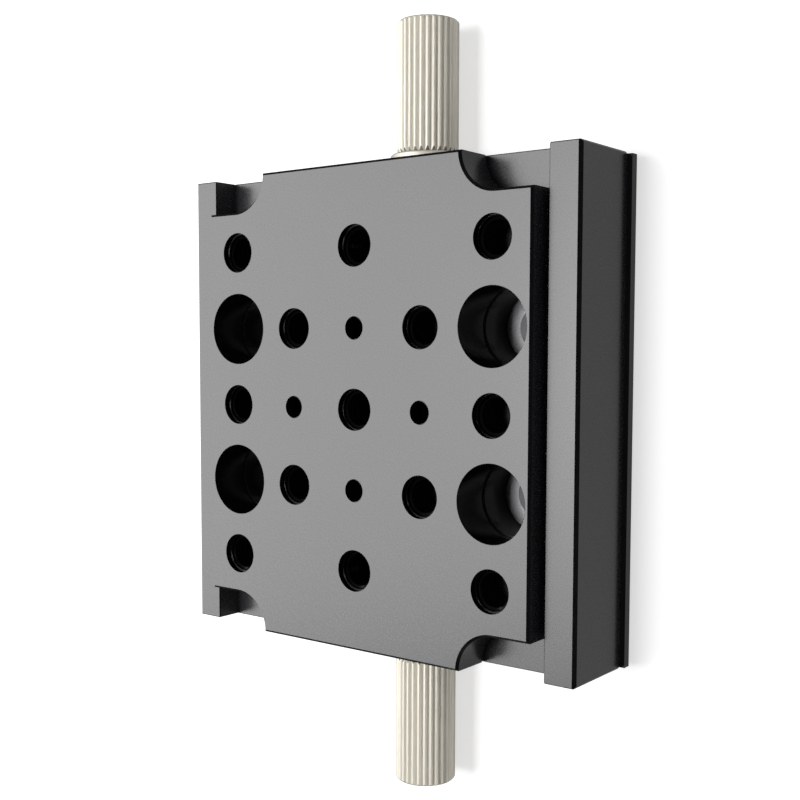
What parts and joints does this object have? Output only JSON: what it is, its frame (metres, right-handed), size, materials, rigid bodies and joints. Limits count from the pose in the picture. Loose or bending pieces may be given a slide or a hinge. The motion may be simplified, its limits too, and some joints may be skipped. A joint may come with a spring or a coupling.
{
  "type": "manual linear stage",
  "caption": "Manual linear translation stage: notched carriage with a tapped hole grid on crossed rollers, driven by a lead screw with a fluted knob at each end.",
  "frame": {"origin": "middle of the bottom plate's underside, on the surface the stage stands on", "axes": "+Z out of the carriage's top face, +Y along the travel and the lead screw, +X to the side the lead screw is offset to"},
  "size_m": [0.0766, 0.1198, 0.018],
  "materials": {
    "dark_anodised": "satin",
    "satin_nickel": "satin",
    "ground_steel": "satin",
    "spring_steel": "satin",
    "bronze": "satin",
    "brass_strip": "satin",
    "black_oxide_steel": "satin"
  },
  "bodies": {
    "base": {"base_body": "dark_anodised", "bottom_plate": "dark_anodised", "bottom_plate_screws": "black_oxide_steel", "base_way_left": "ground_steel", "base_way_right": "ground_steel", "base_way_screws": "black_oxide_steel", "base_way_stop_plates": "ground_steel", "base_way_stop_screws": "black_oxide_steel", "preload_screws": "black_oxide_steel", "screw_bush_front": "bronze", "screw_bush_back": "bronze", "thrust_washer_front": "ground_steel", "thrust_washer_back": "ground_steel"},
    "screw": {"lead_screw": "ground_steel", "knob_front": "satin_nickel", "knob_back": "satin_nickel", "knob_set_screws": "black_oxide_steel"},
    "carriage": {"carriage": "dark_anodised", "carriage_way_left": "ground_steel", "carriage_way_right": "ground_steel", "carriage_way_screws": "black_oxide_steel", "carriage_way_stop_plates": "ground_steel", "carriage_way_stop_screws": "black_oxide_steel", "lead_nut": "bronze", "lead_nut_screws": "black_oxide_steel", "backlash_nut": "bronze", "backlash_spring": "spring_steel"},
    "cage_left": {"roller_cage_left": "brass_strip", "cross_rollers_left": "ground_steel"},
    "cage_right": {"roller_cage_right": "brass_strip", "cross_rollers_right": "ground_steel"}
  },
  "joints": [
    {"name": "screw_spin", "type": "hinge", "parent": "base", "child": "screw", "pos_m": [0.005, 0, 0.006], "axis": [0, 1, 0], "range_deg": [-4500, 4500]},
    {"name": "carriage_slide", "type": "slide", "parent": "base", "child": "carriage", "axis": [0, 1, 0], "range_m": [-0.0125, 0.0125]},
    {"name": "cage_left_slide", "type": "slide", "parent": "base", "child": "cage_left", "axis": [0, 1, 0], "range_m": [-0.00625, 0.00625]},
    {"name": "cage_right_slide", "type": "slide", "parent": "base", "child": "cage_right", "axis": [0, 1, 0], "range_m": [-0.00625, 0.00625]}
  ],
  "couplings": [
    {"joint": "screw_spin", "follows": "carriage_slide", "rad_per_m": -6283.2},
    {"joint": "cage_left_slide", "follows": "carriage_slide", "ratio": 0.5},
    {"joint": "cage_right_slide", "follows": "carriage_slide", "ratio": 0.5}
  ]
}
